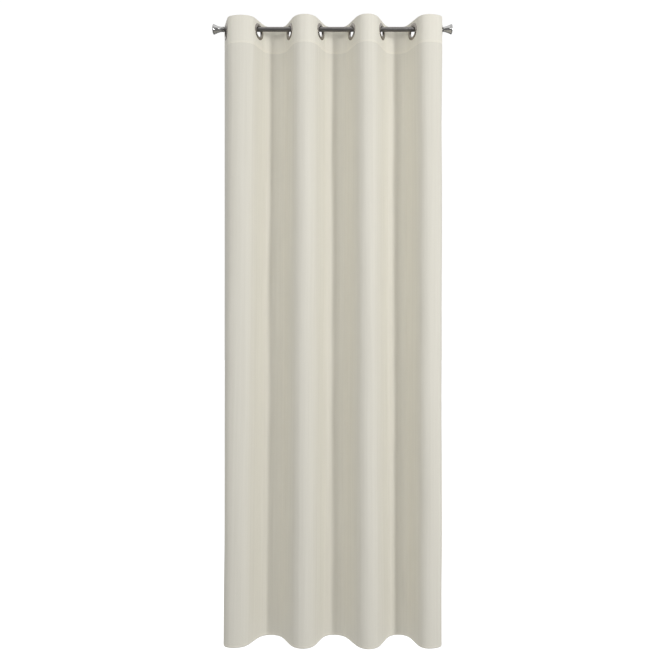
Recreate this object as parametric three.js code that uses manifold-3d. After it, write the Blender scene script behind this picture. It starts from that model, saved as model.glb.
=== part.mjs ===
// Eyelet curtain on a straight rod with two flared finials.
// Millimetres, +Z up, +X along the rod, +Y from the room towards the window.
// The origin is the middle of the rod, on its axis.

import * as THREE from 'three';
import { mergeVertices } from 'three/addons/utils/BufferGeometryUtils.js';
import Module from 'manifold-3d';

const wasm = await Module();
wasm.setup();

// ---- driving dimensions ----

const clearance = 0.3; // gap between pieces that touch

const rod = { length: 874, diameter: 19, wall: 1 };

const panel = {
  height: 2500, // top edge to bottom edge
  cloth: 1, // thickness of one layer
  headerHeight: 108, // the turned-down top, back layer
  hemHeight: 9, // the turned-up bottom edge, back layer
  sideMargin: 45.5, // centre of an end eyelet to the side edge
  eyeletDrop: 43, // top edge to the eyelet centres
};

const tape = { thickness: 0.8, height: 102 }; // the stiffener inside the header

const eyelet = {
  bore: 40,
  outer: 64,
  barrelWall: 1.4, // wall of the neck that goes through the cloth
  flange: 2.2, // thickness of each half's face
  pitch: 187, // along the cloth, centre to centre
};

// How the panel is spread over the rod. Each inner gap between eyelets is a share of the
// regular gap, and the two end folds are fuller or tighter than the rest.
const spread = {
  leftRoom: 10, // end of the tube to the first eyelet
  rightRoom: 3.5,
  gapShares: [1.014, 0.99, 1.023, 0.959, 1.014],
  leftEnd: { extraTurn: THREE.MathUtils.degToRad(6.5), box: 0.522 },
  rightEnd: { extraTurn: THREE.MathUtils.degToRad(27.5), box: 0.668 },
  edgeCurl: THREE.MathUtils.degToRad(6), // how far the free side edges turn on
};

const finial = {
  neckRadius: 9.7,
  rimRadius: 20,
  bellLength: 34.4,
  rimThickness: 0.8,
  lip: 4.2, // width of the rim's flat face around the cap
  mouthDepth: 2.1,
  shoulderDepth: 11.8, // mouth to the shoulder that the nut bears on
  domeHeight: 5.6,
  collarLength: 6,
  collarLip: 1, // how far the collar stands out past the rod
  spigotLength: 38,
  studDiameter: 8,
  studBeyondNut: 1.2,
  nutAcrossFlats: 13,
  nutHeight: 5,
};

const roundSides = 28;
const eyeletSides = 24;
const loopSteps = 10; // flat faces round one fold

// ---- materials ----

const finishes = {
  cloth: { color: 0xd6d1c4, roughness: 0.85, metalness: 0 },
  tape: { color: 0xf0efe8, roughness: 0.9, metalness: 0 },
  rod: { color: 0x5c5856, roughness: 0.38, metalness: 1 },
  chrome: { color: 0xb9b7b4, roughness: 0.12, metalness: 1 },
  ring: { color: 0x57514c, roughness: 0.3, metalness: 1 },
  zinc: { color: 0x9a9a98, roughness: 0.45, metalness: 1 },
};

const part = new THREE.Group();

function addPiece(name, geometry, finish, home = part) {
  const material = new THREE.MeshStandardMaterial(finishes[finish]);
  const mesh = new THREE.Mesh(geometry, material);
  mesh.name = name;
  home.add(mesh);
  return mesh;
}

// ---- joining and cutting ----

function toSolid(geometry) {
  const bare = geometry.clone();
  bare.deleteAttribute('normal');
  bare.deleteAttribute('uv');
  const merged = mergeVertices(bare, 1e-4);
  const vertProperties = new Float32Array(merged.attributes.position.array);
  const triVerts = new Uint32Array(merged.index.array);
  return new wasm.Manifold(new wasm.Mesh({ numProp: 3, vertProperties, triVerts }));
}

function toGeometry(solid) {
  const { vertProperties, triVerts } = solid.getMesh();
  const geometry = new THREE.BufferGeometry();
  geometry.setAttribute('position', new THREE.BufferAttribute(vertProperties, 3));
  geometry.setIndex(new THREE.BufferAttribute(triVerts, 1));
  geometry.computeVertexNormals();
  return geometry;
}

// ---- the folds ----

// How much of its turn a loop has made at a share of its length. Ease moves the tight
// bend towards one end, and box flattens the middle of the loop.
function turnAt(share, shape) {
  const eased = share ** shape.ease;
  return (1 - shape.box) * eased + shape.box * (0.5 + 0.5 * (2 * eased - 1) ** 3);
}

// Walks along a stretch of cloth, and returns the points after each step.
function walk(start, stretch) {
  const { length, from, to, steps, shape = { ease: 1, box: 0 } } = stretch;
  const strides = 24;
  const stride = length / (steps * strides);
  const angleAt = (share) => from + (to - from) * turnAt(share, shape);
  let { x, y } = start;
  const points = [];
  for (let step = 1; step <= steps; step++) {
    for (let part = 0.5; part < strides; part++) {
      const angle = angleAt((step - 1 + part / strides) / steps);
      x += stride * Math.cos(angle);
      y += stride * Math.sin(angle);
    }
    points.push({ x, y, angle: angleAt(step / steps) });
  }
  return points;
}

function bisect(low, high, isTooHigh) {
  for (let round = 0; round < 50; round++) {
    const middle = (low + high) / 2;
    if (isTooHigh(middle)) high = middle;
    else low = middle;
  }
  return (low + high) / 2;
}

// The loop of cloth between two eyelets leaves one at the angle `from`, reaches the next at
// `to`, and brings both eyelets onto the rod. Its box is given, and its ease follows.
function shapeLoop(from, to, box) {
  const length = eyelet.pitch - eyelet.outer;
  const half = eyelet.outer / 2;
  const end = (ease) => {
    const stretch = { length, from, to, steps: 1, shape: { ease, box } };
    const { x, y } = walk({ x: 0, y: 0 }, stretch)[0];
    return {
      gap: x + half * (Math.cos(from) + Math.cos(to)),
      across: y + half * (Math.sin(from) + Math.sin(to)),
    };
  };
  const rising = Math.sign(to - from);
  const ease = bisect(0.3, 3, (value) => rising * end(value).across < 0);
  return { length, from, to, steps: loopSteps, shape: { ease, box }, gap: end(ease).gap };
}

// The same, with the gap given, and the box that closes it.
function fitLoop(from, to, gap) {
  const box = bisect(-0.6, 0.95, (value) => shapeLoop(from, to, value).gap > gap);
  return shapeLoop(from, to, box);
}

// The eyelets and the folds when the cloth crosses the rod at an angle. The cloth comes
// forward at the even eyelets and goes back at the odd ones.
function spreadAt(angle) {
  const free = eyelet.pitch - eyelet.outer;
  const regularGap = eyelet.outer * Math.cos(angle) + (free * Math.sin(angle)) / angle;
  const innerCount = spread.gapShares.length + 1;
  const angles = [-(angle + spread.leftEnd.extraTurn)];
  for (let index = 1; index <= innerCount; index++) angles.push(index % 2 ? angle : -angle);
  angles.push(angle + spread.rightEnd.extraTurn);
  const loops = [shapeLoop(angles[0], angles[1], spread.leftEnd.box)];
  spread.gapShares.forEach((share, index) => {
    loops.push({ from: angles[index + 1], to: angles[index + 2], gap: share * regularGap });
  });
  loops.push(shapeLoop(angles.at(-2), angles.at(-1), spread.rightEnd.box));
  const width = loops.reduce((sum, loop) => sum + loop.gap, 0);
  return { angles, loops, width };
}

// The angle at which the panel just fills the rod.
const room = rod.length - spread.leftRoom - spread.rightRoom;
const innerAngle = bisect(0.2, 1.7, (angle) => spreadAt(angle).width < room);
const { angles: eyeletAngles, loops } = spreadAt(innerAngle);
const eyeletPlaces = [spread.leftRoom - rod.length / 2];
loops.forEach((loop) => eyeletPlaces.push(eyeletPlaces.at(-1) + loop.gap));

// The middle line of the cloth seen from above, from one side edge to the other.
function foldLine() {
  const half = eyelet.outer / 2;
  const marginLength = panel.sideMargin - half;
  const [firstAngle] = eyeletAngles;
  const lastAngle = eyeletAngles.at(-1);
  const flatStart = {
    x: eyeletPlaces[0] - half * Math.cos(firstAngle),
    y: -half * Math.sin(firstAngle),
    angle: firstAngle,
  };
  // the left margin is walked backwards from the first eyelet, so its turn is reversed
  const back = Math.PI + firstAngle;
  const margin = walk(flatStart, { length: marginLength, from: back, to: back - spread.edgeCurl, steps: 2 });
  const line = margin.map((point) => ({ ...point, angle: point.angle - Math.PI })).reverse();
  line.push(flatStart);
  eyeletAngles.forEach((angle, index) => {
    line.push({
      x: eyeletPlaces[index] + half * Math.cos(angle),
      y: half * Math.sin(angle),
      angle,
    });
    const loop = loops[index];
    if (!loop) return;
    line.push(...walk(line.at(-1), loop.shape ? loop : fitLoop(loop.from, loop.to, loop.gap)));
  });
  const curled = { length: marginLength, from: lastAngle, to: lastAngle + spread.edgeCurl, steps: 2 };
  line.push(...walk(line.at(-1), curled));
  return line;
}

const clothLine = foldLine();

// The point a little way past the end of a line, straight on from it.
function pointBeyond(end, distance) {
  const { x, y, angle } = end;
  return { x: x + distance * Math.cos(angle), y: y + distance * Math.sin(angle), angle };
}

// The same line, longer at both ends, for cuts that run out through the side edges.
const overrun = 5;
const cutLine = [
  pointBeyond(clothLine[0], -overrun),
  ...clothLine,
  pointBeyond(clothLine.at(-1), overrun),
];

// A layer that follows a line of folds, between two distances behind that line.
function layer(line, front, back, bottom, top) {
  const offset = (distance) =>
    line.map(({ x, y, angle }) => new THREE.Vector2(
      x - distance * Math.sin(angle),
      y + distance * Math.cos(angle),
    ));
  const outline = new THREE.Shape([...offset(front), ...offset(back).reverse()]);
  const geometry = new THREE.ExtrudeGeometry(outline, { depth: top - bottom, bevelEnabled: false });
  geometry.translate(0, 0, bottom);
  return toSolid(geometry);
}

// ---- heights ----

const headerThickness = 2 * panel.cloth + tape.thickness + 2 * clearance;
const faceDistance = headerThickness / 2 + clearance; // cloth's middle line to an eyelet face

// An eyelet hangs on the rod by the top of its bore. Where the rod crosses it at a slant, it
// bears on the bore's edges, a little to the side of the top, and the eyelet sits higher.
const boreFlat = (eyelet.bore / 2) * Math.cos(Math.PI / eyeletSides); // middle to a flat side
const eyeletHeights = eyeletAngles.map((angle) => {
  const edgeShift = (faceDistance + eyelet.flange) / Math.tan(angle);
  const slantRadius = rod.diameter / 2 / Math.sin(angle) ** 2;
  const slantLift = edgeShift ** 2 / (eyelet.bore - 2 * slantRadius);
  return rod.diameter / 2 + clearance - boreFlat + slantLift;
});
const panelTop = Math.max(...eyeletHeights) + panel.eyeletDrop;
const panelBottom = panelTop - panel.height;

// ---- turned pieces ----

// Turns a profile of [distance along the axis, radius] about the Z axis. The profile is
// closed, or starts and ends on the axis.
function turned(profile, sides) {
  const points = profile.map(([along, radius]) => new THREE.Vector2(radius, along));
  if (THREE.ShapeUtils.area(points) < 0) points.reverse();
  if (points[0].x > 0 || points.at(-1).x > 0) points.push(points[0].clone());
  const geometry = new THREE.LatheGeometry(points, sides);
  geometry.rotateX(Math.PI / 2);
  return geometry;
}

// A washer shape between two radii and two places along the axis.
function washer(inner, outer, low, high, sides) {
  return turned([[low, inner], [low, outer], [high, outer], [high, inner]], sides);
}

function disc(radius, low, high, sides) {
  return turned([[low, 0], [low, radius], [high, radius], [high, 0]], sides);
}

// ---- rod ----

const tubeGeometry = washer(
  rod.diameter / 2 - rod.wall, rod.diameter / 2, -rod.length / 2, rod.length / 2, roundSides,
);
tubeGeometry.rotateZ(Math.PI / roundSides); // a flat side faces down, for the brackets
tubeGeometry.rotateY(Math.PI / 2);
addPiece('rod_tube', tubeGeometry, 'rod');

// ---- eyelets ----

const barrelRadius = eyelet.bore / 2 + eyelet.barrelWall;
const clothHoleRadius = barrelRadius + clearance;

// The front half: a rounded face, and the barrel that goes through the cloth.
function frontHalf() {
  const bore = eyelet.bore / 2;
  const rim = eyelet.outer / 2;
  const crown = -(faceDistance + eyelet.flange);
  return turned([
    [faceDistance + eyelet.flange, bore],
    [faceDistance + eyelet.flange, barrelRadius],
    [-faceDistance, barrelRadius],
    [-faceDistance, rim],
    [(crown - faceDistance) / 2, rim],
    [crown, (rim + bore) / 2 + 2],
    [crown, bore + 2],
    [crown + 1, bore],
  ], eyeletSides);
}

// The back half: a ring that locks over the end of the barrel.
function backHalf() {
  const inner = barrelRadius + clearance;
  const rim = eyelet.outer / 2;
  const crown = faceDistance + eyelet.flange;
  return turned([
    [faceDistance, inner],
    [faceDistance, rim],
    [(crown + faceDistance) / 2, rim],
    [crown, (rim + inner) / 2],
    [crown, inner],
  ], eyeletSides);
}

eyeletPlaces.forEach((place, index) => {
  const home = new THREE.Group();
  home.position.set(place, 0, eyeletHeights[index]);
  // the eyelet's axis stands across the cloth, and points to the cloth's back
  home.rotation.z = eyeletAngles[index];
  part.add(home);
  const halves = [['front', frontHalf()], ['back', backHalf()]];
  halves.forEach(([side, geometry]) => {
    geometry.rotateX(-Math.PI / 2);
    addPiece(`eyelet_${index + 1}_${side}`, geometry, 'ring', home);
  });
});

// ---- cloth ----

// One plug through the header at each eyelet.
function eyeletHoles() {
  const reach = headerThickness;
  return eyeletPlaces.map((place, index) => {
    const geometry = disc(clothHoleRadius, -reach, reach, eyeletSides);
    geometry.rotateX(-Math.PI / 2);
    geometry.rotateZ(eyeletAngles[index]);
    geometry.translate(place, 0, eyeletHeights[index]);
    return toSolid(geometry);
  });
}

function cutHoles(solid) {
  return eyeletHoles().reduce((rest, hole) => rest.subtract(hole), solid);
}

// The cloth: a full-height front, a top turned down behind the tape, and a bottom hem. It is
// a thick layer, less the slot that holds the tape, less what is behind the front layer.
const front = -headerThickness / 2;
const back = headerThickness / 2;
const hemBack = back - panel.cloth - clearance / 2;
const slotTop = panelTop - panel.cloth;
const whole = layer(clothLine, front, back, panelBottom, panelTop);
const slotBottom = panelBottom + panel.hemHeight;
const slot = layer(cutLine, front + panel.cloth, back - panel.cloth, slotBottom, slotTop);
const headerBottom = panelTop - panel.headerHeight;
const behind = layer(cutLine, hemBack, back + overrun, panelBottom - overrun, headerBottom);
addPiece('curtain_panel', toGeometry(cutHoles(whole.subtract(slot).subtract(behind))), 'cloth');

// The tape stops a little short of the side edges.
const tapeTop = slotTop - clearance;
const tapeLine = clothLine.slice(1, -1);
const halfTape = tape.thickness / 2;
const tapeSolid = layer(tapeLine, -halfTape, halfTape, tapeTop - tape.height, tapeTop);
addPiece('header_tape', toGeometry(cutHoles(tapeSolid)), 'tape');

// ---- finials ----

// Distances along the axis are from the end face of the tube outwards.
const collarStart = clearance;
const neck = collarStart + finial.collarLength + clearance;
const mouth = neck + finial.bellLength;
const shoulder = mouth - finial.shoulderDepth;
const studRadius = finial.studDiameter / 2;
const studHole = studRadius + clearance;
const nutStart = shoulder + clearance;
const nutEnd = nutStart + finial.nutHeight;
const capPlug = finial.rimRadius - finial.lip - clearance;

function collarShape() {
  const end = collarStart + finial.collarLength;
  const middle = (collarStart + end) / 2;
  const radius = rod.diameter / 2 + finial.collarLip;
  const edge = radius - 1.2;
  return turned([
    [collarStart, studHole],
    [collarStart, edge],
    [collarStart + 1, radius - 0.35],
    [middle, radius],
    [end - 1, radius - 0.35],
    [end, edge],
    [end, studHole],
  ], roundSides);
}

// The bell flares from the neck to the rim, a little faster towards the rim.
function bellShape() {
  const outerSteps = 9;
  const waist = neck + 4;
  const outer = [[neck, finial.neckRadius + 0.5]];
  for (let step = 0; step <= outerSteps; step++) {
    const share = step / outerSteps;
    const along = waist + share * (mouth - finial.rimThickness - waist);
    const flare = 0.4 * share + 0.6 * share ** 2;
    outer.push([along, finial.neckRadius + (finial.rimRadius - finial.neckRadius) * flare]);
  }
  const mouthRadius = capPlug + clearance;
  return turned([
    [neck, studHole],
    ...outer,
    [mouth, finial.rimRadius],
    [mouth, mouthRadius],
    [mouth - finial.mouthDepth, mouthRadius - 0.6],
    [shoulder + 3, finial.nutAcrossFlats / 2 + 2.4],
    [shoulder, finial.nutAcrossFlats / 2 + 1.6],
    [shoulder, studHole],
  ], roundSides);
}

// The domed cap, with a short plug that sits in the mouth of the bell.
function capShape() {
  const seat = mouth + clearance;
  const edge = finial.rimRadius - 0.8;
  const domeSteps = 6;
  const dome = [];
  for (let step = 0; step <= domeSteps; step++) {
    const turn = (step / domeSteps) * (Math.PI / 2);
    dome.push([seat + 0.6 + (finial.domeHeight - 0.9) * Math.sin(turn), edge * Math.cos(turn)]);
  }
  dome.at(-1)[1] = 0;
  return turned([
    [mouth - finial.mouthDepth + 0.6, 0],
    [mouth - finial.mouthDepth + 0.6, capPlug - 0.6],
    [seat, capPlug],
    [seat, edge],
    ...dome,
  ], roundSides);
}

// The plug inside the tube, with the stud that the collar and the bell go on.
function spigotShape() {
  const plugRadius = rod.diameter / 2 - rod.wall - clearance;
  return turned([
    [-finial.spigotLength, 0],
    [-finial.spigotLength, plugRadius - 1],
    [1 - finial.spigotLength, plugRadius],
    [0, plugRadius],
    [0, studRadius],
    [nutEnd + finial.studBeyondNut, studRadius],
    [nutEnd + finial.studBeyondNut, 0],
  ], roundSides);
}

function nutShape() {
  const corner = finial.nutAcrossFlats / Math.sqrt(3);
  const corners = [];
  for (let side = 0; side < 6; side++) {
    const turn = (side * Math.PI) / 3;
    corners.push(new THREE.Vector2(corner * Math.cos(turn), corner * Math.sin(turn)));
  }
  const outline = new THREE.Shape(corners);
  const hole = new THREE.Path();
  hole.absarc(0, 0, studHole, 0, 2 * Math.PI, true);
  outline.holes.push(hole);
  const depth = finial.nutHeight;
  const geometry = new THREE.ExtrudeGeometry(outline, { depth, bevelEnabled: false });
  geometry.translate(0, 0, nutStart);
  return geometry;
}

[['left', -1], ['right', 1]].forEach(([side, direction]) => {
  const home = new THREE.Group();
  home.position.x = (direction * rod.length) / 2;
  home.rotation.y = (direction * Math.PI) / 2;
  part.add(home);
  addPiece(`finial_${side}_collar`, collarShape(), 'chrome', home);
  addPiece(`finial_${side}_bell`, bellShape(), 'chrome', home);
  addPiece(`finial_${side}_cap`, capShape(), 'chrome', home);
  addPiece(`finial_${side}_spigot`, spigotShape(), 'zinc', home);
  addPiece(`finial_${side}_nut`, nutShape(), 'zinc', home);
});

export default part;
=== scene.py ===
import math

import bmesh
import bpy
import numpy as np
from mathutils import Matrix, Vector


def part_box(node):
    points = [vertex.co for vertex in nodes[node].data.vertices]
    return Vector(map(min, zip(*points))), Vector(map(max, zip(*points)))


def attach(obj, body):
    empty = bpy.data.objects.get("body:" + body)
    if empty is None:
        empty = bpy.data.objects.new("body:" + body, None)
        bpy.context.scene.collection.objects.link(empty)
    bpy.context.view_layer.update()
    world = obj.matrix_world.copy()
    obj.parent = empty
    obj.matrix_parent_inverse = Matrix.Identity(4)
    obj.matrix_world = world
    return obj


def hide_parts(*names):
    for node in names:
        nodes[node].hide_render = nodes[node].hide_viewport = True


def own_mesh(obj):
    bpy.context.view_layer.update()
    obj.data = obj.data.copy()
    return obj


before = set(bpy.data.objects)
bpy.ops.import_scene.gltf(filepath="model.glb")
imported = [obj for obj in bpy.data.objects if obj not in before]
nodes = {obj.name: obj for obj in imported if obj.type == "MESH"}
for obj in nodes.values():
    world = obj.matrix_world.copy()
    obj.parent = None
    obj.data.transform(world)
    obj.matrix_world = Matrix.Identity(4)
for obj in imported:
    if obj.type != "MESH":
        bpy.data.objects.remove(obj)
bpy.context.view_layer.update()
scene = bpy.context.scene
scene.view_settings.view_transform = "Standard"
print("frame loaded:", len(nodes), "nodes")

# ---- camera, floor and light ----

roomView = {
    "lens": 36,
    "sensor": 36,
    "distance": 2.68,  # from the rod
    "belowTop": 1.2547,  # under the curtain's top edge
}

studio = {
    "floorGap": 0.12,  # floor to hem
    "floorHalf": 30,
    "floorColor": (0.86, 0.86, 0.86, 1),
    "floorRoughness": 0.9,
    "floorSpecular": 0.1,
    "floorGlow": 0.86,  # the floor as the camera sees it
    "floorLight": 0.60,  # what the cloth gets of it
    "floorMirror": 0.26,  # what the metal reflects of it
    "skyWhite": 1.02,  # the sky as the camera sees it
    "skyLow": 0.36,  # its light near the horizon and overhead
    "skyHigh": 0.48,
    "skyRise": (0.05, 0.8),  # heights between which the light grows
    "mirrorLow": 0.10,  # the same three for what the metal reflects
    "mirrorHigh": 1.1,
    "mirrorRise": (0.1, 0.45),
    "key": {"place": (3.0, -3.0, -0.3), "aim": (0, 0, -1.1), "size": (0.4, 2.2), "power": 67},
    "front": {"place": (0.6, -3.0, 0.15), "aim": (0, 0, -1.0), "size": (0.6, 0.6), "power": 5},
    "side": {"place": (-2.1, -2.4, 0.15), "aim": (0, 0, -1.0), "size": (0.5, 0.6), "power": 11},
    "top": {"place": (0.2, -1.0, 2.4), "aim": (0, 0, -0.3), "size": (2.4, 0.8), "power": 5},
    "back": {"place": (0.8, 3.2, 0.4), "aim": (0, 0, -1.2), "size": (2.2, 2.4), "power": 30},
}

panelLow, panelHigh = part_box("curtain_panel")


def addCamera():
    lens = bpy.data.cameras.new("roomView")
    lens.sensor_width = roomView["sensor"]
    lens.lens = roomView["lens"]
    lens.dof.use_dof = False
    eye = bpy.data.objects.new("roomView", lens)
    eye.location = (0, -roomView["distance"], panelHigh.z - roomView["belowTop"])
    eye.rotation_euler = (math.pi / 2, 0, 0)
    scene.collection.objects.link(eye)
    scene.camera = eye


def addLight(name, place, aim, size, power):
    lamp = bpy.data.lights.new(name, "AREA")
    lamp.shape = "RECTANGLE"
    lamp.size, lamp.size_y = size
    lamp.energy = power
    holder = bpy.data.objects.new(name, lamp)
    holder.location = place
    way = holder.location.copy()
    way.x, way.y, way.z = (a - p for a, p in zip(aim, place))
    holder.rotation_euler = way.to_track_quat("-Z", "Y").to_euler()
    scene.collection.objects.link(holder)


def addSky():
    # white to the eye, soft from above for the cloth, and for reflections bright high up with
    # a dark band round the horizon
    world = bpy.data.worlds.new("studioSky")
    world.use_nodes = True
    scene.world = world
    tree = world.node_tree
    tree.nodes.clear()
    place = tree.nodes.new("ShaderNodeTexCoord")
    split = tree.nodes.new("ShaderNodeSeparateXYZ")
    tree.links.new(place.outputs["Generated"], split.inputs[0])

    def skyOf(low, high, start, end):
        height = tree.nodes.new("ShaderNodeMapRange")
        height.interpolation_type = "SMOOTHSTEP"
        ends = {"From Min": start, "From Max": end, "To Min": low, "To Max": high}
        for label, value in ends.items():
            height.inputs[label].default_value = value
        tree.links.new(split.outputs["Z"], height.inputs["Value"])
        sky = tree.nodes.new("ShaderNodeBackground")
        tree.links.new(height.outputs["Result"], sky.inputs["Strength"])
        return sky.outputs[0]

    seen = tree.nodes.new("ShaderNodeLightPath")
    glossy = tree.nodes.new("ShaderNodeMixShader")
    tree.links.new(seen.outputs["Is Glossy Ray"], glossy.inputs["Fac"])
    soft = skyOf(studio["skyLow"], studio["skyHigh"], *studio["skyRise"])
    tree.links.new(soft, glossy.inputs[1])
    mirrored = skyOf(studio["mirrorLow"], studio["mirrorHigh"], *studio["mirrorRise"])
    tree.links.new(mirrored, glossy.inputs[2])
    white = tree.nodes.new("ShaderNodeBackground")
    white.inputs["Color"].default_value = (1, 1, 1, 1)
    white.inputs["Strength"].default_value = studio["skyWhite"]
    mix = tree.nodes.new("ShaderNodeMixShader")
    out = tree.nodes.new("ShaderNodeOutputWorld")
    tree.links.new(seen.outputs["Is Camera Ray"], mix.inputs["Fac"])
    tree.links.new(glossy.outputs[0], mix.inputs[1])
    tree.links.new(white.outputs[0], mix.inputs[2])
    tree.links.new(mix.outputs[0], out.inputs["Surface"])


def addFloor():
    # a square floor, which is clear from below, and gives the cloth and the metal less light
    # than the camera sees of it
    half = studio["floorHalf"]
    low = panelLow.z - studio["floorGap"]
    mesh = bpy.data.meshes.new("floor")
    corners = [(-half, -half, low), (half, -half, low), (half, half, low), (-half, half, low)]
    mesh.from_pydata(corners, [], [(0, 1, 2, 3)])
    floor = bpy.data.objects.new("floor", mesh)
    scene.collection.objects.link(floor)
    material = bpy.data.materials.new("paleFloor")
    material.use_nodes = True
    tree = material.node_tree
    paint = tree.nodes["Principled BSDF"]
    paint.inputs["Base Color"].default_value = studio["floorColor"]
    paint.inputs["Roughness"].default_value = studio["floorRoughness"]
    paint.inputs["Specular IOR Level"].default_value = studio["floorSpecular"]
    paint.inputs["Emission Color"].default_value = (1, 1, 1, 1)
    paint.inputs["Emission Strength"].default_value = studio["floorGlow"]
    shade = tree.nodes.new("ShaderNodeEmission")
    seen = tree.nodes.new("ShaderNodeLightPath")
    glow = tree.nodes.new("ShaderNodeMapRange")
    glow.inputs["To Min"].default_value = studio["floorLight"]
    glow.inputs["To Max"].default_value = studio["floorMirror"]
    tree.links.new(seen.outputs["Is Glossy Ray"], glow.inputs["Value"])
    tree.links.new(glow.outputs["Result"], shade.inputs["Strength"])
    both = tree.nodes.new("ShaderNodeMixShader")
    tree.links.new(seen.outputs["Is Camera Ray"], both.inputs["Fac"])
    tree.links.new(shade.outputs[0], both.inputs[1])
    tree.links.new(paint.outputs[0], both.inputs[2])
    clear = tree.nodes.new("ShaderNodeBsdfTransparent")
    side = tree.nodes.new("ShaderNodeNewGeometry")
    mix = tree.nodes.new("ShaderNodeMixShader")
    tree.links.new(side.outputs["Backfacing"], mix.inputs["Fac"])
    tree.links.new(both.outputs[0], mix.inputs[1])
    tree.links.new(clear.outputs[0], mix.inputs[2])
    tree.links.new(mix.outputs[0], tree.nodes["Material Output"].inputs["Surface"])
    mesh.materials.append(material)


addCamera()
addSky()
addFloor()
for lightName in ("key", "front", "side", "top", "back"):
    addLight(lightName, **studio[lightName])
print("camera, floor and lights ready")

# ---- shared finishes ----


def makeGroup(name, inputs, outputs):
    group = bpy.data.node_groups.new(name, "ShaderNodeTree")
    for label, kind, value in inputs:
        socket = group.interface.new_socket(label, in_out="INPUT", socket_type=kind)
        if value is not None:
            socket.default_value = value
    for label, kind in outputs:
        group.interface.new_socket(label, in_out="OUTPUT", socket_type=kind)
    start = group.nodes.new("NodeGroupInput")
    end = group.nodes.new("NodeGroupOutput")
    return group, start.outputs, end.inputs


def addMath(tree, operation, first, second=None, third=None):
    node = tree.nodes.new("ShaderNodeMath")
    node.operation = operation
    for socket, value in zip(node.inputs, (first, second, third)):
        if value is None:
            continue
        if isinstance(value, bpy.types.NodeSocket):
            tree.links.new(value, socket)
        else:
            socket.default_value = value
    return node.outputs[0]


def addNoise(tree, vector, stretch, detail=2.0):
    # noise on a vector that is first stretched along each axis
    scaled = tree.nodes.new("ShaderNodeVectorMath")
    scaled.operation = "MULTIPLY"
    tree.links.new(vector, scaled.inputs[0])
    scaled.inputs[1].default_value = stretch
    noise = tree.nodes.new("ShaderNodeTexNoise")
    noise.inputs["Scale"].default_value = 1
    noise.inputs["Detail"].default_value = detail
    tree.links.new(scaled.outputs[0], noise.inputs["Vector"])
    return noise.outputs[0]


# how often each noise changes in a metre, along the piece's own axes
weaveNoise = {"warpSlubs": (950, 9, 0), "weftSlubs": (7, 800, 0), "streaks": (95, 1.3, 0)}
grainNoise = {"lines": (2600, 60, 60), "smudges": (55, 80, 80)}


def makePlainWeave():
    # warp and weft threads pass over and under each other: the product of two sines, on
    # coordinates in metres, with slubs as long thin noise both ways
    group, given, out = makeGroup(
        "plainWeave",
        [("Place", "NodeSocketVector", None), ("Threads", "NodeSocketFloat", 1400.0)],
        [("Height", "NodeSocketFloat"), ("Slub", "NodeSocketFloat"), ("Streak", "NodeSocketFloat")],
    )
    split = group.nodes.new("ShaderNodeSeparateXYZ")
    group.links.new(given["Place"], split.inputs[0])
    waves = []
    for axis in ("X", "Y"):
        turn = addMath(group, "MULTIPLY", split.outputs[axis], given["Threads"])
        waves.append(addMath(group, "SINE", addMath(group, "MULTIPLY", turn, math.pi)))
    crossing = addMath(group, "MULTIPLY", waves[0], waves[1])
    warp = addNoise(group, given["Place"], weaveNoise["warpSlubs"])
    weft = addNoise(group, given["Place"], weaveNoise["weftSlubs"])
    slub = addMath(group, "ADD", warp, weft)
    group.links.new(addMath(group, "MULTIPLY_ADD", slub, 0.8, crossing), out["Height"])
    group.links.new(slub, out["Slub"])
    group.links.new(addNoise(group, given["Place"], weaveNoise["streaks"], 3.0), out["Streak"])
    return group


def makeFinishGrain():
    # fine lines that run round a turned piece, and broad faint smudges
    group, given, out = makeGroup(
        "finishGrain",
        [("Place", "NodeSocketVector", None)],
        [("Lines", "NodeSocketFloat"), ("Smudge", "NodeSocketFloat")],
    )
    group.links.new(addNoise(group, given["Place"], grainNoise["lines"], 3.0), out["Lines"])
    group.links.new(addNoise(group, given["Place"], grainNoise["smudges"], 3.0), out["Smudge"])
    return group


plainWeave = makePlainWeave()
finishGrain = makeFinishGrain()


def newMaterial(name):
    material = bpy.data.materials.new(name)
    material.use_nodes = True
    tree = material.node_tree
    return material, tree, tree.nodes["Principled BSDF"]


def placeGroup(tree, group, source, values=()):
    node = tree.nodes.new("ShaderNodeGroup")
    node.node_tree = group
    tree.links.new(source, node.inputs["Place"])
    for label, value in values:
        node.inputs[label].default_value = value
    return node.outputs


def addRange(tree, value, low, high, fromLow=0.0, fromHigh=1.0):
    node = tree.nodes.new("ShaderNodeMapRange")
    tree.links.new(value, node.inputs["Value"])
    ends = {"From Min": fromLow, "From Max": fromHigh, "To Min": low, "To Max": high}
    for label, number in ends.items():
        node.inputs[label].default_value = number
    return node.outputs["Result"]


def addBump(tree, height, strength, distance):
    node = tree.nodes.new("ShaderNodeBump")
    node.inputs["Strength"].default_value = strength
    node.inputs["Distance"].default_value = distance
    tree.links.new(height, node.inputs["Height"])
    return node.outputs["Normal"]


def addTint(tree, factor, dark, light):
    # a colour between two, by a value that changes over the surface
    node = tree.nodes.new("ShaderNodeMix")
    node.data_type = "RGBA"
    node.inputs[6].default_value = (*dark, 1)
    node.inputs[7].default_value = (*light, 1)
    tree.links.new(factor, node.inputs[0])
    return node.outputs[2]


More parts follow.
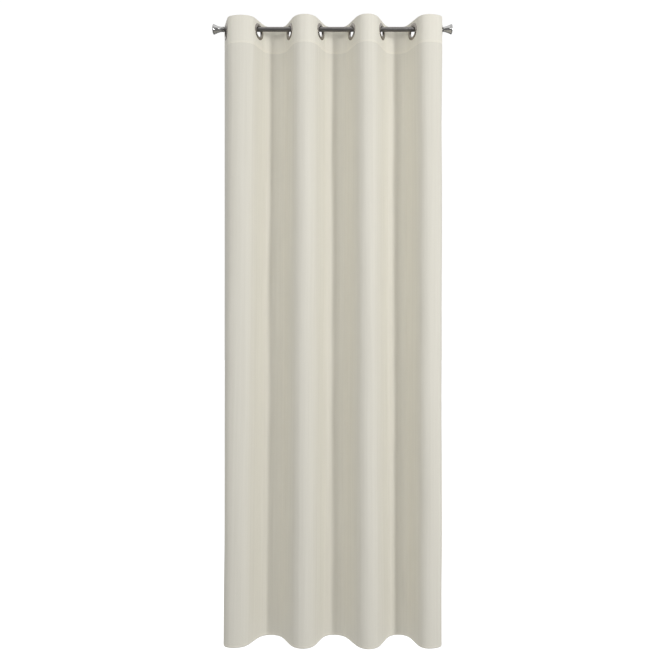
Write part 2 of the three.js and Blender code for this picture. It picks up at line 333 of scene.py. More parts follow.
clothLook = {
    "shade": (0.800, 0.772, 0.680),
    "light": (0.860, 0.834, 0.742),
    "bandShade": (0.900, 0.868, 0.764),  # where several layers lie together, and a painted highlight along the header's lower fold
    "bandLight": (0.950, 0.918, 0.812),
    "streaks": 0.75,  # share of the long streaks in the mottle, and of the slubs
    "slubs": 0.12,
    "roughness": (0.72, 0.84),
    "weaveDepth": 0.0002,
    "weaveStrength": 0.35,
    "sheen": 0.22,
    "sheenRoughness": 0.45,
    "specular": 0.3,
}
threadLook = {"dark": (0.62, 0.58, 0.48), "light": (0.80, 0.76, 0.66), "roughness": 0.6}
tapeLook = {
    "dark": (0.74, 0.735, 0.71),
    "light": (0.86, 0.855, 0.83),
    "threads": 700.0,  # to the metre
    "weaveDepth": 0.0002,
    "weaveStrength": 0.5,
    "roughness": 0.9,
}


def makeClothMaterial():
    material, tree, shader = newMaterial("ivoryCloth")
    flat = tree.nodes.new("ShaderNodeUVMap")
    flat.uv_map = "flatCloth"
    weave = placeGroup(tree, plainWeave, flat.outputs[0])
    slubs = addMath(tree, "MULTIPLY", weave["Slub"], clothLook["slubs"])
    mottle = addMath(tree, "MULTIPLY_ADD", weave["Streak"], clothLook["streaks"], slubs)
    factor = addRange(tree, mottle, 0, 1, 0.30, 0.72)
    plain = addTint(tree, factor, clothLook["shade"], clothLook["light"])
    band = addTint(tree, factor, clothLook["bandShade"], clothLook["bandLight"])
    # the band's colour where layers lie together; along the header's lower fold it is also a
    # painted highlight
    bandShare = tree.nodes.new("ShaderNodeAttribute")
    bandShare.attribute_name = "layersAndHighlight"
    both = tree.nodes.new("ShaderNodeMix")
    both.data_type = "RGBA"
    tree.links.new(bandShare.outputs["Fac"], both.inputs[0])
    tree.links.new(plain, both.inputs[6])
    tree.links.new(band, both.inputs[7])
    tree.links.new(both.outputs[2], shader.inputs["Base Color"])
    rough = addRange(tree, weave["Slub"], *clothLook["roughness"], 0.6, 1.4)
    tree.links.new(rough, shader.inputs["Roughness"])
    bump = addBump(tree, weave["Height"], clothLook["weaveStrength"], clothLook["weaveDepth"])
    tree.links.new(bump, shader.inputs["Normal"])
    shader.inputs["Sheen Weight"].default_value = clothLook["sheen"]
    shader.inputs["Sheen Roughness"].default_value = clothLook["sheenRoughness"]
    shader.inputs["Specular IOR Level"].default_value = clothLook["specular"]
    return material


def makeThreadMaterial():
    material, tree, shader = newMaterial("ivoryThread")
    place = tree.nodes.new("ShaderNodeTexCoord")
    twist = addNoise(tree, place.outputs["Object"], (2400, 2400, 2400), 1.0)
    color = addTint(tree, twist, threadLook["dark"], threadLook["light"])
    tree.links.new(color, shader.inputs["Base Color"])
    shader.inputs["Roughness"].default_value = threadLook["roughness"]
    return material


def makeTapeMaterial():
    material, tree, shader = newMaterial("whiteTape")
    flat = tree.nodes.new("ShaderNodeUVMap")
    flat.uv_map = "flatCloth"
    weave = placeGroup(tree, plainWeave, flat.outputs[0], [("Threads", tapeLook["threads"])])
    color = addTint(tree, weave["Slub"], tapeLook["dark"], tapeLook["light"])
    tree.links.new(color, shader.inputs["Base Color"])
    bump = addBump(tree, weave["Height"], tapeLook["weaveStrength"], tapeLook["weaveDepth"])
    tree.links.new(bump, shader.inputs["Normal"])
    shader.inputs["Roughness"].default_value = tapeLook["roughness"]
    return material


def makeMetal(name, dark, light, roughness, lineDepth):
    material, tree, shader = newMaterial(name)
    place = tree.nodes.new("ShaderNodeTexCoord")
    grain = placeGroup(tree, finishGrain, place.outputs["Object"])
    tree.links.new(addTint(tree, grain["Smudge"], dark, light), shader.inputs["Base Color"])
    smudge = addMath(tree, "MULTIPLY", grain["Smudge"], 0.5)
    mixed = addMath(tree, "MULTIPLY_ADD", grain["Lines"], 0.5, smudge)
    tree.links.new(addRange(tree, mixed, *roughness, 0.3, 0.7), shader.inputs["Roughness"])
    tree.links.new(addBump(tree, grain["Lines"], 0.3, lineDepth), shader.inputs["Normal"])
    shader.inputs["Metallic"].default_value = 1
    return material


clothMaterial = makeClothMaterial()
threadMaterial = makeThreadMaterial()
tapeMaterial = makeTapeMaterial()
# for each metal: dark and light colour, least and greatest roughness, depth of its fine lines
metals = {
    "satinDarkNickel": ((0.19, 0.182, 0.177), (0.25, 0.241, 0.233), (0.26, 0.40), 0.00002),
    "polishedDarkNickel": ((0.30, 0.275, 0.245), (0.39, 0.36, 0.325), (0.16, 0.28), 0.00001),
    "polishedNickel": ((0.44, 0.435, 0.43), (0.54, 0.535, 0.53), (0.08, 0.18), 0.000006),
    "zincPlate": ((0.42, 0.42, 0.42), (0.56, 0.56, 0.555), (0.34, 0.52), 0.00002),
}
metalMaterials = [makeMetal(name, *look) for name, look in metals.items()]
darkNickel, ringNickel, brightNickel, zincPlate = metalMaterials
print("finishes ready")

# ---- turned metal ----


def finishObject(name, mesh, material, smoothAngle=None):
    mesh.materials.append(material)
    mesh.polygons.foreach_set("use_smooth", np.ones(len(mesh.polygons), bool))
    if smoothAngle:
        mesh.set_sharp_from_angle(angle=math.radians(smoothAngle))
    piece = bpy.data.objects.new(name, mesh)
    scene.collection.objects.link(piece)
    return piece


def turnedPiece(name, profile, origin, axis, sides, material):
    # a closed profile of (distance along the axis, radius), carried once round the axis
    profile = np.array(profile, float)
    axis = np.array(axis, float) / np.linalg.norm(axis)
    side = np.cross(axis, (0, 0, 1.0))
    side /= np.linalg.norm(side)
    up = np.cross(side, axis)
    turn = np.arange(sides) * 2 * np.pi / sides
    ring = np.cos(turn)[:, None] * side + np.sin(turn)[:, None] * up
    points = np.array(origin) + profile[:, None, 0:1] * axis + profile[:, None, 1:2] * ring
    count = len(profile)
    row, column = np.meshgrid(np.arange(count), np.arange(sides), indexing="ij")
    nextRow, nextColumn = (row + 1) % count, (column + 1) % sides
    here, after = row * sides, nextRow * sides
    faces = np.stack([here + column, here + nextColumn, after + nextColumn, after + column], -1)
    mesh = bpy.data.meshes.new(name)
    mesh.from_pydata(points.reshape(-1, 3).tolist(), [], faces.reshape(-1, 4).tolist())
    tidy = bmesh.new()
    tidy.from_mesh(mesh)
    bmesh.ops.remove_doubles(tidy, verts=tidy.verts, dist=1e-6)
    bmesh.ops.dissolve_degenerate(tidy, edges=tidy.edges, dist=1e-7)
    bmesh.ops.recalc_face_normals(tidy, faces=tidy.faces)
    tidy.to_mesh(mesh)
    tidy.free()
    return finishObject(name, mesh, material, 40)


def arc(centre, radii, start, end, steps):
    # points of an ellipse's arc, between two angles in degrees
    turn = np.radians(np.linspace(start, end, steps))
    return [(centre[0] + radii[0] * math.cos(t), centre[1] + radii[1] * math.sin(t)) for t in turn]


rodLow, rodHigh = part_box("rod_tube")
rodRadius = (rodHigh.z - rodLow.z) / 2
rodShape = {
    "wall": 0.001,
    "chamfer": 0.0003,
    "endStep": 0.02,  # each end to the first ring of points
}


def buildRod():
    # a plain tube with chamfered ends, its profile carried round the x axis
    chamfer, endStep = rodShape["chamfer"], rodShape["endStep"]
    half = (rodHigh.x - rodLow.x) / 2
    inner = rodRadius - rodShape["wall"]
    profile = [(-half, inner), (-half, rodRadius - chamfer), (-half + chamfer, rodRadius)]
    profile += [(x, rodRadius) for x in np.linspace(-half + endStep, half - endStep, 15)]
    profile += [(half - chamfer, rodRadius), (half, rodRadius - chamfer), (half, inner)]
    rod = turnedPiece("rod", profile, (0, 0, 0), (1, 0, 0), sides=96, material=darkNickel)
    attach(rod, "rod")
    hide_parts("rod_tube")


def nodePoints(name):
    # a node's points, each of them once
    mesh = nodes[name].data
    points = np.zeros(len(mesh.vertices) * 3)
    mesh.vertices.foreach_get("co", points)
    return np.unique(points.reshape(-1, 3).round(6), axis=0)


eyeletShape = {
    "bore": 0.0199,  # radius
    "barrelWall": 0.0013,
    "rim": 0.032,  # outer radius
    "face": 0.0020,  # inner side of each half, from the eyelet's middle
    "crown": 0.0042,  # furthest place of each half
    "crestOut": 0.0008,  # the front's crest, outside the middle of its ring
    "plate": 0.0004,  # thickness at the rim
    "edge": 0.0003,  # rounding of the barrel's ends
    "rimEdge": 0.0006,  # rounding of the rim, and behind the face's roll into the bore
    "sides": 72,
}
eyeletCount = 8


def eyeletFrame(number):
    # an eyelet's axis runs from the middle of its front half to the middle of its back half,
    # and its centre is halfway between its two outer faces
    front = nodePoints(f"eyelet_{number}_front")
    back = nodePoints(f"eyelet_{number}_back")
    axis = back.mean(0) - front.mean(0)
    axis[2] = 0
    axis /= np.linalg.norm(axis)
    middle = front.mean(0)
    along = (np.concatenate([front, back]) - middle) @ axis
    return middle + axis * (along.min() + along.max()) / 2, axis


def buildEyelets():
    bore, rim = eyeletShape["bore"], eyeletShape["rim"]
    face, crown = eyeletShape["face"], eyeletShape["crown"]
    plate, edge, rimEdge = eyeletShape["plate"], eyeletShape["edge"], eyeletShape["rimEdge"]
    barrel = bore + eyeletShape["barrelWall"]
    middle = (bore + rim) / 2 + eyeletShape["crestOut"]
    bulge = crown - face - plate
    # front: a rounded face that rolls into the bore, and the barrel behind it
    front = arc((-face - plate, middle), (bulge, rim - middle), 90, 180, 9)
    front += arc((-face - plate, middle), (bulge, middle - bore), 188, 262, 9)
    front += [(-face + rimEdge, bore), (0, bore), (crown - edge, bore), (crown, bore + edge)]
    front += [(crown, barrel - edge), (crown - edge, barrel)]
    front += [(-face, barrel), (-face, barrel + plate)]
    front += [(-face, rim - rimEdge), (-face - 0.0001, rim - 0.0001)]
    # back: a flatter ring, whose lip fits over the barrel
    inner = barrel + plate
    middleBack = (inner + rim) / 2
    back = [(face, rim - rimEdge), (face + 0.0001, rim - 0.0001)]
    back += arc((face + plate, middleBack), (bulge, rim - middleBack), 88, 0, 9)
    back += arc((face + plate, middleBack), (bulge, middleBack - inner), -8, -84, 9)
    back += [(face, inner)]
    for number in range(1, eyeletCount + 1):
        body = "rod" if number == 1 else f"eyelet_{number}"
        centre, axis = eyeletFrame(number)
        for side, profile in (("front", front), ("back", back)):
            name = f"ring{number}{side.capitalize()}"
            ring = turnedPiece(name, profile, centre, axis, eyeletShape["sides"], ringNickel)
            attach(ring, body)
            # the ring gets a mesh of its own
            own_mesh(ring)
            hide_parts(f"eyelet_{number}_{side}")


finialShape = {
    "waist": 0.004,  # straight part of the neck
    "neck": 0.0097,
    "rim": 0.020,
    "lip": 0.0042,
    "stud": 0.0043,
    "pocket": 0.0089,  # inside radius round the nut
    "shoulder": 0.0118,  # mouth to the nut's seat
    "bulge": 0.0026,  # height of the collar's rounding
    "mouthGap": 0.0003,  # bell to cap
    "edgeIn": 0.0008,  # the cap's edge, inside the bell's rim
    "step": 0.0016,  # thickness of the cap's edge
    "collarSides": 80,
    "sides": 96,
}


def spanAlong(node, way):
    # a node's first and last place along the rod, seen from the rod's middle outwards
    low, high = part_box(node)
    return (low.x, high.x) if way > 0 else (-high.x, -low.x)


def buildFinial(side, way):
    # a bead, a flared bell and a low cap, each one profile carried round the rod's line
    stud, neck, rim = finialShape["stud"], finialShape["neck"], finialShape["rim"]
    lip, pocket, sides = finialShape["lip"], finialShape["pocket"], finialShape["sides"]
    axis = (way, 0, 0)
    # collar: a round bead on the stud
    first, last = spanAlong(f"finial_{side}_collar", way)
    low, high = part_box(f"finial_{side}_collar")
    bead = (high.z - low.z) / 2
    half = (last - first) / 2
    bulge, collarSides = finialShape["bulge"], finialShape["collarSides"]
    profile = [(first, stud)]
    profile += arc(((first + last) / 2, bead - bulge), (half, bulge), 180, 0, 17)
    profile += [(last, stud)]
    collar = turnedPiece(f"{side}Collar", profile, (0, 0, 0), axis, collarSides, brightNickel)
    # bell: radius = neck + (rim - neck)(2 t + 3 t^2)/5, with a rolled rim and a pocket for the nut
    first, last = spanAlong(f"finial_{side}_bell", way)
    waist = first + finialShape["waist"]
    share = np.linspace(0, 1, 26)
    flare = 0.4 * share + 0.6 * share**2
    profile = [(first, stud), (first, neck - 0.0002)]
    profile += [(first + 0.0005, neck + 0.0004), (first + 0.0016, neck + 0.0002)]
    profile += list(zip(waist + share * (last - 0.0008 - waist), neck + (rim - neck) * flare))
    profile += [(last - 0.0003, rim), (last, rim - 0.0004), (last, rim - lip)]
    profile += [(last - 0.0021, rim - lip - 0.0006)]
    seat = last - finialShape["shoulder"]
    profile += [(seat + 0.003, pocket), (seat, pocket - 0.0008), (seat, stud)]
    bell = turnedPiece(f"{side}Bell", profile, (0, 0, 0), axis, sides, brightNickel)
    # cap: a low dome with a step at its edge, and a plug in the bell's mouth
    first, last = spanAlong(f"finial_{side}_cap", way)
    mouth = spanAlong(f"finial_{side}_bell", way)[1] + finialShape["mouthGap"]
    edge, step = rim - finialShape["edgeIn"], finialShape["step"]
    plug = rim - lip - 0.0003
    profile = [(first, 0), (first, plug - 0.0006), (mouth, plug)]
    profile += [(mouth, edge - 0.0004), (mouth + 0.0004, edge)]
    profile += [(mouth + 0.0012, edge - 0.0002), (mouth + step, edge - 0.0012)]
    profile += arc((mouth + step, 0), (last - mouth - step, edge - 0.0014), 90, 0, 20)
    cap = turnedPiece(f"{side}Cap", profile, (0, 0, 0), axis, sides, brightNickel)
    for piece, node in ((collar, "collar"), (bell, "bell"), (cap, "cap")):
        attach(piece, f"finial_{side}")
        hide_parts(f"finial_{side}_{node}")
    for node in ("spigot", "nut"):
        inside = nodes[f"finial_{side}_{node}"]
        if inside.material_slots:
            inside.material_slots[0].material = zincPlate
        else:
            inside.data.materials.append(zincPlate)


buildRod()
buildEyelets()
buildFinial("left", -1)
buildFinial("right", 1)
print("rod, eyelets and finials ready")

# ---- the folds ----

curtain = {
    "pitch": 0.187,  # eyelet to eyelet, along the cloth
    "ring": 0.064,  # flat across each eyelet
    "sideMargin": 0.0455,
    "edgeCurl": math.radians(6),
    "header": 0.108,
    "hem": 0.009,
    "thickness": 0.0006,
    "layerGap": 0.0008,  # middle to middle, where two layers lie together
    "headerHalf": 0.0012,  # middle of the header to the middle of its front or back layer
    "columnStep": 0.0055,
    "headerStep": 0.004,
    "dropStep": 0.023,
    "holeRadius": 0.0255,
    "settle": 0.35,  # how far below the header the folds take their own shape
    "softness": 0.011,  # smoothing of the folds there
    "softDepth": 1.03,  # and how much deeper they stand
    "shiftSoftness": 0.03,  # smoothing of their shift along the rod
    "seamRise": 0.003,  # the header's seam, above the header's lower edge
    "seamDip": 0.0005,  # how far it pulls the front in
    "seamWidth": 0.004,
    "seamOpen": 0.009,  # height over which the layers part above it
    "turnIn": 0.006,  # turned-in edge of the header, on its back
    "calmEdge": 0.12,  # beside the side edges, where the waves fade
    "tapeInset": 0.013,  # side edge to the tape's end
    "tapeThickness": 0.0007,
}

# how far the cloth's colour goes towards the band's, by the layers that lie together; along the
# turned-in edge the full share is partly its layers and partly a painted highlight of the header's
# lower fold
layersAndHighlightShare = {"header": 0.6, "seam": 1, "hem": 0.7}

# how far each fold has moved along the rod by the time it reaches the hem, from the left
# side edge to the right one: edge, fold forward, fold back, and so on
hemShift = [0, -0.030, -0.019, -0.004, -0.009, 0.004, 0.012, -0.001, 0.002]

eyeletFrames = [eyeletFrame(number) for number in range(1, eyeletCount + 1)]
eyeletAngles = [math.atan2(-axis[0], axis[1]) for centre, axis in eyeletFrames]
panelTop, panelBottom = panelHigh.z, panelLow.z
headerBottom = panelTop - curtain["header"]


def smoothStep(value, low, high):
    # 0 up to low, 1 from high on, and three squares less two cubes of the share between
    share = np.clip((value - low) / (high - low), 0, 1)
    return share * share * (3 - 2 * share)


def turnAt(share, ease, box):
    # how much of a turn is done at a share of the way: the share to the power of ease, mixed
    # by box with a cubed curve that turns fast at both ends and slowly between
    eased = share**ease
    return (1 - box) * eased + box * (0.5 + 0.5 * (2 * eased - 1) ** 3)


def walk(length, fromAngle, toAngle, ease=1.0, box=0.0, steps=240):
    # running sums of short strides whose direction turns from one angle to another
    share = (np.arange(steps) + 0.5) / steps
    angle = fromAngle + (toAngle - fromAngle) * turnAt(share, ease, box)
    stride = length / steps
    return np.cumsum(np.cos(angle)) * stride, np.cumsum(np.sin(angle)) * stride


def bisect(low, high, isTooHigh):
    # halves the range again and again, down to where the test changes its answer
    for _ in range(36):
        middle = (low + high) / 2
        low, high = (low, middle) if isTooHigh(middle) else (middle, high)
    return (low + high) / 2


def fitLoop(fromAngle, toAngle, gap):
    # the cloth between two eyelets: ease brings its far end back onto the rod, and box sets
    # how wide it stands
    free, half = curtain["pitch"] - curtain["ring"], curtain["ring"] / 2
    rising = math.copysign(1, toAngle - fromAngle)

    def easeFor(box):
        def isTooHigh(ease):
            y = walk(free, fromAngle, toAngle, ease, box)[1][-1]
            return rising * (y + half * (math.sin(fromAngle) + math.sin(toAngle))) < 0

        return bisect(0.3, 3, isTooHigh)

    def isTooWide(box):
        x = walk(free, fromAngle, toAngle, easeFor(box), box)[0][-1]
        return x + half * (math.cos(fromAngle) + math.cos(toAngle)) > gap

    box = bisect(-0.6, 0.95, isTooWide)
    return walk(free, fromAngle, toAngle, easeFor(box), box)


def foldLine():
    # the cloth's middle line seen from above, as distance along it, x and y
    half, margin = curtain["ring"] / 2, curtain["sideMargin"] - curtain["ring"] / 2
    first, last = eyeletAngles[0], eyeletAngles[-1]
    back = math.pi + first
    x, y = walk(margin, back, back - curtain["edgeCurl"], steps=24)
    startX = eyeletFrames[0][0][0] - half * math.cos(first)
    startY = -half * math.sin(first)
    xs, ys = [startX + x[::-1]], [startY + y[::-1]]
    flatSteps = np.linspace(-half, half, 129)
    for number, (centre, axis) in enumerate(eyeletFrames):
        angle = eyeletAngles[number]
        xs.append(centre[0] + flatSteps * math.cos(angle))
        ys.append(flatSteps * math.sin(angle))
        if number + 1 < eyeletCount:
            gap = eyeletFrames[number + 1][0][0] - centre[0]
            x, y = fitLoop(angle, eyeletAngles[number + 1], gap)
        else:
            x, y = walk(margin, last, last + curtain["edgeCurl"], steps=24)
        xs.append(xs[-1][-1] + x)
        ys.append(ys[-1][-1] + y)
    x, y = np.concatenate(xs), np.concatenate(ys)
    along = np.concatenate([[0], np.cumsum(np.hypot(np.diff(x), np.diff(y)))])
    even = np.linspace(0, along[-1], 2841)
    return even, np.interp(even, along, x), np.interp(even, along, y)


def softened(values, spacing, width):
    # a bell-shaped running average, carried past both ends by turning the line about them
    reach = int(3 * width / spacing)
    weight = np.exp(-0.5 * (np.arange(-reach, reach + 1) * spacing / width) ** 2)
    padded = np.pad(values, reach, mode="reflect", reflect_type="odd")
    return np.convolve(padded, weight / weight.sum(), mode="valid")


lineAlong, lineX, lineY = foldLine()
lineStep = lineAlong[1] - lineAlong[0]
softX = softened(lineX, lineStep, curtain["softness"])
softY = softened(lineY, lineStep, curtain["softness"]) * curtain["softDepth"]
panelWidth = lineAlong[-1]
foldMiddles = [curtain["sideMargin"] + curtain["pitch"] * (n + 0.5) for n in range(eyeletCount - 1)]
foldPlaces = [0] + foldMiddles + [panelWidth]
shiftLine = np.interp(lineAlong, foldPlaces, hemShift)
shiftLine = softened(shiftLine, lineStep, curtain["shiftSoftness"])
print("folds worked out: panel", round(float(panelWidth), 4), "m wide when flat")

# faint waves in the folds: size, height and width of one wave, phase
slowWaves = ((0.0009, 1.15, 0.71, 0.4), (0.0006, 0.62, 0.43, 2.1), (0.0004, 0.37, 0.26, 4.4))


def foldPoint(across, height):
    # the line of the header, which turns into a softer one below it and then drifts and
    # waves a little on its way down to the hem
    loose = 1 - smoothStep(height, headerBottom - curtain["settle"], headerBottom + 0.01)
    fall = np.clip((headerBottom - height) / (headerBottom - panelBottom), 0, 1)
    firm = 1 - loose
    x = np.interp(across, lineAlong, lineX) * firm + np.interp(across, lineAlong, softX) * loose
    y = np.interp(across, lineAlong, lineY) * firm + np.interp(across, lineAlong, softY) * loose
    x = x + np.interp(across, lineAlong, shiftLine) * fall**1.3
    calmEdge = curtain["calmEdge"]
    inside = smoothStep(across, 0, calmEdge)
    inside = inside * (1 - smoothStep(across, panelWidth - calmEdge, panelWidth))
    for size, tall, wide, phase in slowWaves:
        sideways = np.sin(2 * np.pi * (height / tall + across / wide) + phase)
        forward = np.cos(2 * np.pi * (height / tall - across / wide) + phase)
        x = x + size * 0.8 * loose * inside * sideways
        y = y + size * loose * (0.3 + 0.7 * inside) * forward
    return x, y


def clothPoint(across, height, offset):
    # points at a distance behind the line, square to it, and the way that distance goes
    aheadX, aheadY = foldPoint(across + 0.002, height)
    behindX, behindY = foldPoint(across - 0.002, height)
    x, y = foldPoint(across, height)
    length = np.hypot(aheadX - behindX, aheadY - behindY)
    normalX, normalY = (behindY - aheadY) / length, (aheadX - behindX) / length
    tall = height + np.zeros_like(x)
    points = np.stack([x + normalX * offset, y + normalY * offset, tall], -1)
    return points, np.stack([normalX, normalY, 0 * tall], -1)


# ---- cloth ----


def sheetMesh(name, points, flat, keep, layersAndHighlight):
    # a grid of points by rows and columns, with the flat cloth's coordinates in metres
    rows, columns = points.shape[:2]
    row, column = np.meshgrid(np.arange(rows - 1), np.arange(columns - 1), indexing="ij")
    corner = row * columns + column
    faces = np.stack([corner, corner + 1, corner + columns + 1, corner + columns], -1)[keep]
    mesh = bpy.data.meshes.new(name)
    mesh.from_pydata(points.reshape(-1, 3).tolist(), [], faces.reshape(-1, 4).tolist())
    layer = mesh.uv_layers.new(name="flatCloth")
    loops = np.zeros(len(mesh.loops), np.int32)
    mesh.loops.foreach_get("vertex_index", loops)
    layer.data.foreach_set("uv", flat.reshape(-1, 2)[loops].ravel().astype(np.float32))
    mark = mesh.attributes.new("layersAndHighlight", "FLOAT", "POINT")
    mark.data.foreach_set("value", layersAndHighlight.reshape(-1).astype(np.float32))
    return mesh


def thicken(piece, thickness):
    # the sheet gets its thickness, and points that no face uses go
    solid = piece.modifiers.new("thickness", "SOLIDIFY")
    solid.thickness = thickness
    solid.offset = 0
    solid.use_even_offset = False
    tidy = bmesh.new()
    tidy.from_mesh(piece.data)
    bmesh.ops.delete(tidy, geom=[v for v in tidy.verts if not v.link_faces], context="VERTS")
    tidy.to_mesh(piece.data)
    tidy.free()
    bpy.context.view_layer.update()
    shown = piece.evaluated_get(bpy.context.evaluated_depsgraph_get())
    piece.data = bpy.data.meshes.new_from_object(shown)
    piece.modifiers.clear()
    return piece


def gatherWithCurtain(piece):
    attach(piece, "rod")
    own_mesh(piece)


def awayFromEyelets(across, height):
    # faces of the header that aren't in an eyelet's hole
    keep = np.ones(np.broadcast(across, height).shape, bool)
    for number, (centre, axis) in enumerate(eyeletFrames):
        place = curtain["sideMargin"] + curtain["pitch"] * number
        keep &= np.hypot(across - place, height - centre[2]) > curtain["holeRadius"]
    return keep


def buildPanel():
    half, gap, hem = curtain["headerHalf"], curtain["layerGap"], curtain["hem"]
    # the sheet's path: down the hem's back, round the bottom, up the front, over the top and
    # down the header's back, with rows close together where it turns or is sewn
    hemHeights = panelBottom + np.array([hem, hem * 0.6, 0.0006])
    frontHeights = np.concatenate([
        panelBottom + np.array([0, 0.0045, 0.009, 0.0105, 0.016]),
        np.arange(panelBottom + 0.036, headerBottom - 0.012, curtain["dropStep"]),
        headerBottom + np.array([-0.006, -0.0015, 0, 0.0015, 0.005]),
        np.arange(headerBottom + 0.009, panelTop - 0.003, curtain["headerStep"]),
    ])
    foldTurn = np.radians(np.linspace(0, 180, 7))
    backHeights = np.concatenate([
        np.arange(panelTop - 0.006, headerBottom + 0.006, -curtain["headerStep"]),
        headerBottom + np.array([0.0045, 0.002, 0]),
    ])
    topHeights = panelTop - half + half * np.sin(foldTurn)
    heights = np.concatenate([hemHeights, frontHeights, topHeights, backHeights])
    isHem = np.arange(len(heights)) < len(hemHeights)
    isBack = np.arange(len(heights)) >= len(heights) - len(backHeights)
    offsets = np.concatenate([
        np.full(len(hemHeights) + len(frontHeights), -half),
        -half * np.cos(foldTurn),
        np.full(len(backHeights), half),
    ])
    count = int(round(panelWidth / curtain["columnStep"]))
    columns = np.concatenate([[2, 1, 0], np.arange(count + 1), [count, count - 1, count - 2]])
    turned = np.zeros(len(columns), bool)
    turned[:3] = turned[-3:] = True  # side hems
    across = columns * panelWidth / count
    nearSide = (columns < 3) | (columns > count - 3)
    offset = np.repeat(offsets[:, None], len(columns), 1)
    offset[isHem] = np.where(nearSide, half, -half + gap)
    stitched = 1 - smoothStep(heights, headerBottom, headerBottom + curtain["seamOpen"])
    pulled = (half - (-half + gap)) * stitched[:, None]
    offset -= np.where(isBack[:, None] & ~nearSide, pulled, 0)
    # a shallow valley where the header's seam pulls the front in
    fromSeam = (heights - headerBottom - curtain["seamRise"]) / curtain["seamWidth"]
    seam = curtain["seamDip"] * np.exp(-fromSeam ** 2)
    offset += np.where(isBack | isHem, 0, seam)[:, None]
    offset[:, turned] /= 3
    points = clothPoint(across[None, :], heights[:, None], offset)[0]
    path = np.concatenate([[0], np.cumsum(np.hypot(np.diff(heights), np.diff(offsets)))])
    flatAcross = across.copy()
    flatAcross[:3] *= -1
    flatAcross[-3:] = 2 * panelWidth - flatAcross[-3:]
    flat = np.stack(np.broadcast_arrays(flatAcross[None, :], path[:, None]), -1)
    middleAcross = (across[1:] + across[:-1]) / 2
    middleHeight = (heights[1:] + heights[:-1]) / 2
    keep = awayFromEyelets(middleAcross[None, :], middleHeight[:, None])
    # two layers lie together in the header, and three along its turned-in edge and in the hem; the
    # turned-in edge gets the band's full colour, partly for its layers and partly as a painted
    # highlight where the header's lower fold catches the light
    inHeader = heights > headerBottom - 0.0005
    bandShare = np.where(inHeader, layersAndHighlightShare["header"], 0.0)
    # painted highlight along the header's lower fold, together with its turned-in layers
    bandShare[inHeader & (heights < headerBottom + curtain["turnIn"])] = layersAndHighlightShare["seam"]
    bandShare[heights < panelBottom + hem + 0.0004] = layersAndHighlightShare["hem"]
    layersAndHighlight = np.broadcast_to(bandShare[:, None], points.shape[:2])
    mesh = sheetMesh("curtainPanel", points, flat, keep, layersAndHighlight)
    panel = thicken(finishObject("curtainPanel", mesh, clothMaterial), curtain["thickness"])
    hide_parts("curtain_panel")
    gatherWithCurtain(panel)
    return panel


def buildTape():
    # the stiffener inside the header, a flat strip that follows the folds
    low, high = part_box("header_tape")
    across = np.linspace(curtain["tapeInset"], panelWidth - curtain["tapeInset"], 255)
    heights = np.linspace(low.z, high.z, 27)
    points = clothPoint(across[None, :], heights[:, None], 0)[0]
    flat = np.stack(np.broadcast_arrays(across[None, :], heights[:, None]), -1)
    middleAcross = (across[1:] + across[:-1]) / 2
    middleHeight = (heights[1:] + heights[:-1]) / 2
    keep = awayFromEyelets(middleAcross[None, :], middleHeight[:, None])
    mesh = sheetMesh("headerTape", points, flat, keep, np.zeros(points.shape[:2]))
    tape = thicken(finishObject("headerTape", mesh, tapeMaterial), curtain["tapeThickness"])
    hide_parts("header_tape")
    gatherWithCurtain(tape)


seams = {
    "pitch": 0.0044,
    "length": 0.0034,
    "radius": 0.00032,
    "lift": 0.00005,  # the thread's middle, off the cloth
    "endGap": 0.004,  # edge of the cloth to the first stitch
    "hemDown": 0.002,  # the hem's seam, below the hem's upper edge
    "sideIn": 0.008,  # side seams, from the side edges
    "backStart": 0.017,  # rows on the back begin beside the side hems
    "backDip": 0.0003,  # how much further back the header's seam lies there
}


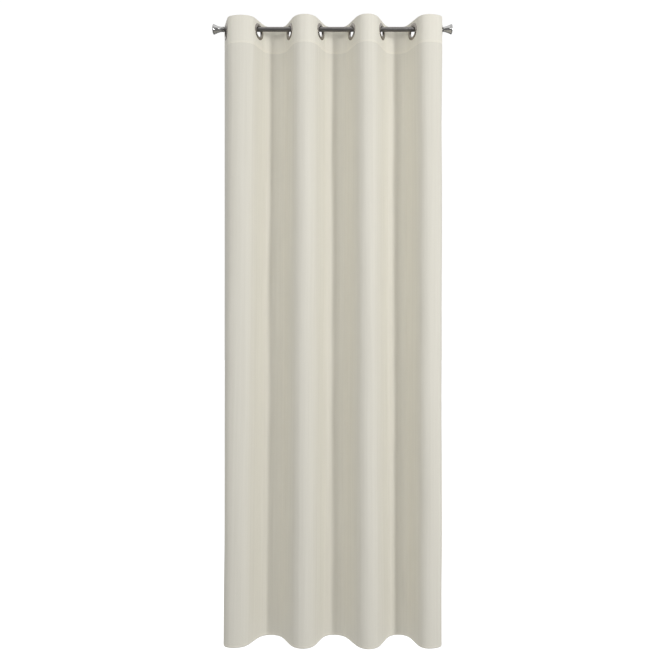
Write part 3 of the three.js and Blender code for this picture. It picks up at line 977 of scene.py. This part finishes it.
def stitchMesh(name, centres, ways, normals):
    # one small lozenge of thread for each stitch: rings of six points along its length
    share = np.array([-1, -0.75, 0, 0.75, 1]) * seams["length"] / 2
    swell = np.array([0.15, 0.8, 1, 0.8, 0.15]) * seams["radius"]
    turn = np.arange(6) * np.pi / 3
    sides = np.cross(ways, normals)
    cosine, sine = np.cos(turn)[None, None, :, None], np.sin(turn)[None, None, :, None]
    ring = cosine * normals[:, None, None] + sine * sides[:, None, None]
    along = ways[:, None, None] * share[None, :, None, None]
    points = centres[:, None, None] + along + ring * swell[None, :, None, None]
    step, side = np.meshgrid(np.arange(4), np.arange(6), indexing="ij")
    here, after, nextSide = step * 6, (step + 1) * 6, (side + 1) % 6
    faces = np.stack([here + side, here + nextSide, after + nextSide, after + side], -1)
    starts = np.arange(len(centres)) * 30
    quads = (faces.reshape(-1, 4)[None] + starts[:, None, None]).reshape(-1, 4)
    # each end ring is closed by two faces
    ends = np.array([[0, 5, 4, 3], [0, 3, 2, 1], [24, 25, 26, 27], [24, 27, 28, 29]])
    quads = np.concatenate([quads, (ends[None] + starts[:, None, None]).reshape(-1, 4)])
    mesh = bpy.data.meshes.new(name)
    mesh.from_pydata(points.reshape(-1, 3).tolist(), [], quads.tolist())
    return mesh


def buildStitches():
    # rows of stitches along the header's seam, the hem and both side hems, front and back
    surface = curtain["thickness"] / 2
    front = -curtain["headerHalf"] - surface
    centres, ways, faces = [], [], []

    def sew(across, height, offset, outward):
        across, height = np.broadcast_arrays(across, height)
        point, normal = clothPoint(across, height, offset)
        stepAcross, stepUp = (0.001, 0) if np.ptp(height) == 0 else (0, 0.001)
        way = clothPoint(across + stepAcross, height + stepUp, offset)[0] - point
        centres.append(point + normal * outward * seams["lift"])
        ways.append(way / np.linalg.norm(way, axis=1)[:, None])
        faces.append(normal * outward)

    endGap, backStart = seams["endGap"], seams["backStart"]
    run = np.arange(endGap, panelWidth - endGap, seams["pitch"])
    rise = np.arange(panelBottom + 0.012, headerBottom - endGap, seams["pitch"])
    headerSeam = headerBottom + curtain["seamRise"]
    hemSeam = panelBottom + curtain["hem"] - seams["hemDown"]
    sew(run, headerSeam, front + curtain["seamDip"], -1)
    sew(run, hemSeam, front, -1)
    middle = run[(run > backStart) & (run < panelWidth - backStart)]
    backOfSeam = front + curtain["layerGap"] + 2 * surface
    sew(middle, headerSeam, backOfSeam + seams["backDip"], 1)
    sew(middle, hemSeam, backOfSeam, 1)
    for edge in (seams["sideIn"], panelWidth - seams["sideIn"]):
        sew(edge, rise, front, -1)
        sew(edge, rise, backOfSeam, 1)
    mesh = stitchMesh("stitching", *(np.concatenate(part) for part in (centres, ways, faces)))
    stitching = finishObject("stitching", mesh, threadMaterial)
    gatherWithCurtain(stitching)
    return stitching


panel = buildPanel()
buildTape()
stitching = buildStitches()
print("cloth ready:", len(panel.data.polygons), "faces")
